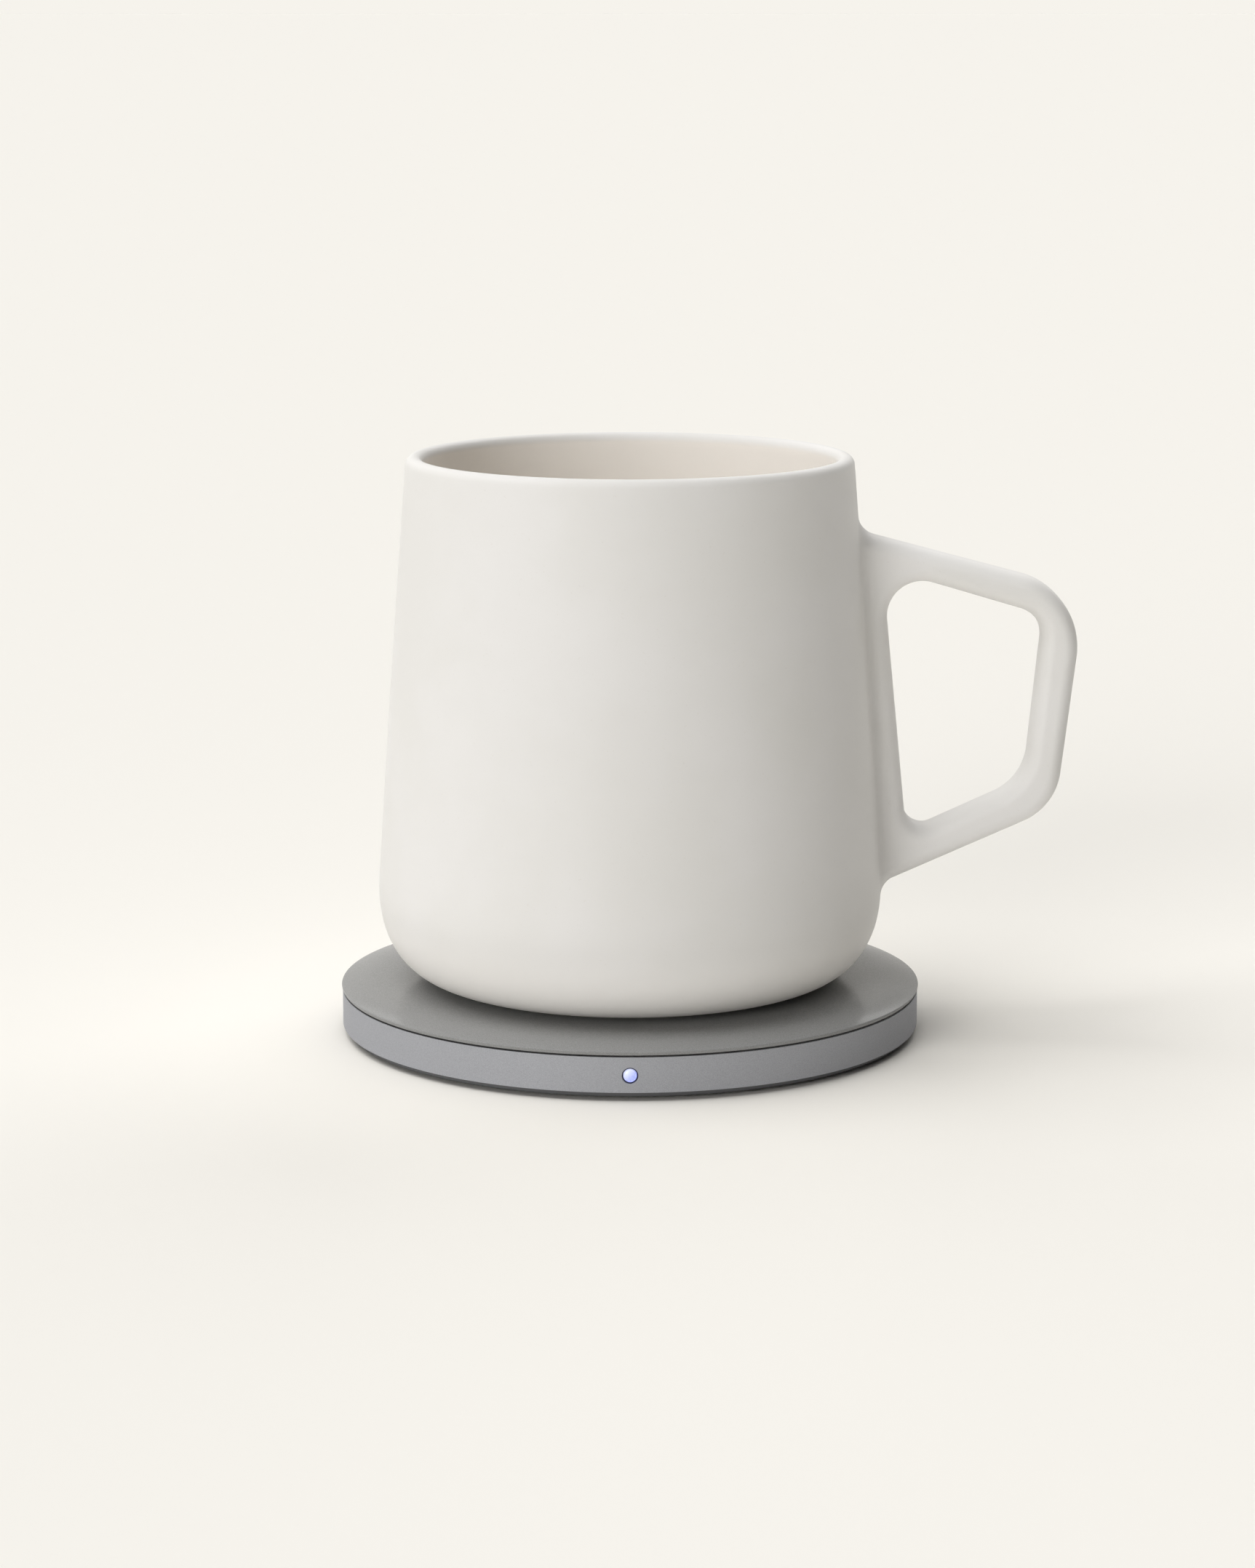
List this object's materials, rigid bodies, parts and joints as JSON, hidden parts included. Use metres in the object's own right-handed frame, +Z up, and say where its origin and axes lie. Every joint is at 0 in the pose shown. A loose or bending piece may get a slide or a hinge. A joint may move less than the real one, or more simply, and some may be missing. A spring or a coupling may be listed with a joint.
{
  "type": "self heating mug",
  "caption": "Straight-sided ceramic mug with an angular loop handle, standing on a thin round heating pad with a front status lamp and a rear charging socket.",
  "frame": {"origin": "centre of the heating pad's underside, on the table", "axes": "+Z up along the mug's axis; +X towards the handle; -Y towards the pad's lamp, +Y towards its socket"},
  "size_m": [0.127, 0.1002, 0.1],
  "materials": {
    "glazed_stoneware": "matte off-white glaze",
    "base_cap_plastic": "matte",
    "heating_steel": "brushed",
    "copper_wire": "enamelled copper winding",
    "anodised_aluminium": "fine bead-blasted, anodised grey",
    "cover_coating": "satin, fine metallic grain",
    "black_plastic": "matte black",
    "foot_silicone": "matte",
    "lamp_diffuser": "frosted",
    "screw_steel": "zinc plated",
    "circuit_board": "solder mask",
    "ferrite": "sintered ferrite",
    "white_plastic": "matte",
    "thermal_pad": "soft"
  },
  "bodies": {
    "pad": {"foot_pad": "foot_silicone", "base_plate": "black_plastic", "side_ring": "anodised_aluminium", "cover_gasket": "black_plastic", "top_cover": "cover_coating", "base_screw_1": "screw_steel", "base_screw_2": "screw_steel", "base_screw_3": "screw_steel", "base_screw_4": "screw_steel", "main_board": "circuit_board", "controller_chip": "black_plastic", "bridge_chip_1": "black_plastic", "bridge_chip_2": "black_plastic", "resonant_capacitor_1": "white_plastic", "resonant_capacitor_2": "white_plastic", "resonant_capacitor_3": "white_plastic", "resonant_capacitor_4": "white_plastic", "power_inductor": "ferrite", "charging_chip": "black_plastic", "lamp_lens": "lamp_diffuser", "lamp_sleeve": "black_plastic", "lamp_chip": "white_plastic", "socket_shell": "screw_steel", "socket_tongue": "black_plastic", "coil_tray": "white_plastic", "ferrite_plate": "ferrite", "heating_coil": "copper_wire", "temperature_sensor": "black_plastic", "sensor_pad": "thermal_pad", "coil_lead_1": "copper_wire", "coil_lead_2": "copper_wire"},
    "mug": {"mug_body": "glazed_stoneware", "mug_handle": "glazed_stoneware", "base_cap": "base_cap_plastic", "pickup_coil": "copper_wire", "heating_disc": "heating_steel"}
  },
  "joints": [
    {"name": "mug_lift", "type": "slide", "parent": "pad", "child": "mug", "axis": [0, 0, 1], "range_m": [0, 0.12]}
  ]
}
